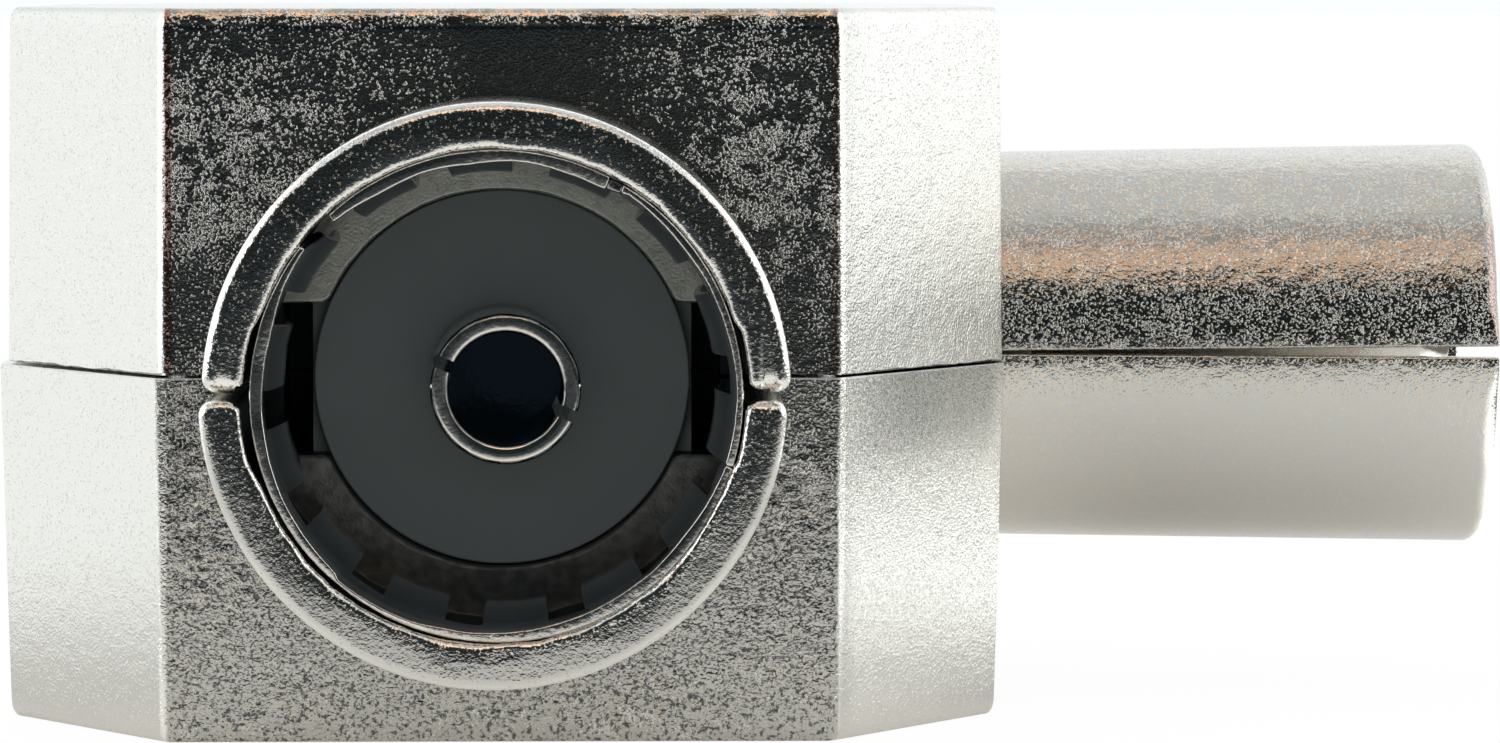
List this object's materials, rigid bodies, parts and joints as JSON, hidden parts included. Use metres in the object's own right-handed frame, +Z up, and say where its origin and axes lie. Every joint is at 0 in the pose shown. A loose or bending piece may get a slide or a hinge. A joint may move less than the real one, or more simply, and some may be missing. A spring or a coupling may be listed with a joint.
{
  "type": "rf splitter",
  "caption": "Push-on coaxial T splitter in a die-cast nickel-plated body: aerial plug on one side, a socket at front and rear.",
  "frame": {"origin": "centre of the flat base of the lower shell, under the crossing of the three port axes", "axes": "+Z up, +Y from the front socket to the rear socket, +X towards the plug"},
  "size_m": [0.0358, 0.046, 0.0167],
  "materials": {
    "cast_shell": "satin nickel plate over rough die-cast zinc",
    "spring_sleeve": "bright nickel plate over spring brass",
    "contact": "bright nickel plate over turned brass",
    "insulator": "fine matt charcoal moulding",
    "board": "plain laminate",
    "ferrite": "sintered grey ferrite",
    "copper_wire": "enamelled copper",
    "component_coat": "dipped coating",
    "tinned_wire": "tinned"
  },
  "bodies": {
    "root": {"upper_shell": "cast_shell", "lower_shell": "cast_shell", "front_spring_sleeve": "spring_sleeve", "rear_spring_sleeve": "spring_sleeve", "front_insulator": "insulator", "rear_insulator": "insulator", "plug_insulator": "insulator", "front_socket_contact": "contact", "rear_socket_contact": "contact", "plug_pin": "contact", "circuit_board": "board", "matching_core": "ferrite", "splitter_core": "ferrite", "matching_winding": "copper_wire", "splitter_winding": "copper_wire", "isolation_resistor": "component_coat", "resistor_front_lead": "tinned_wire", "resistor_rear_lead": "tinned_wire", "input_capacitor": "component_coat", "input_capacitor_left_lead": "tinned_wire", "input_capacitor_right_lead": "tinned_wire", "trimming_capacitor": "component_coat", "trimming_capacitor_left_lead": "tinned_wire", "trimming_capacitor_right_lead": "tinned_wire"}
  },
  "joints": []
}
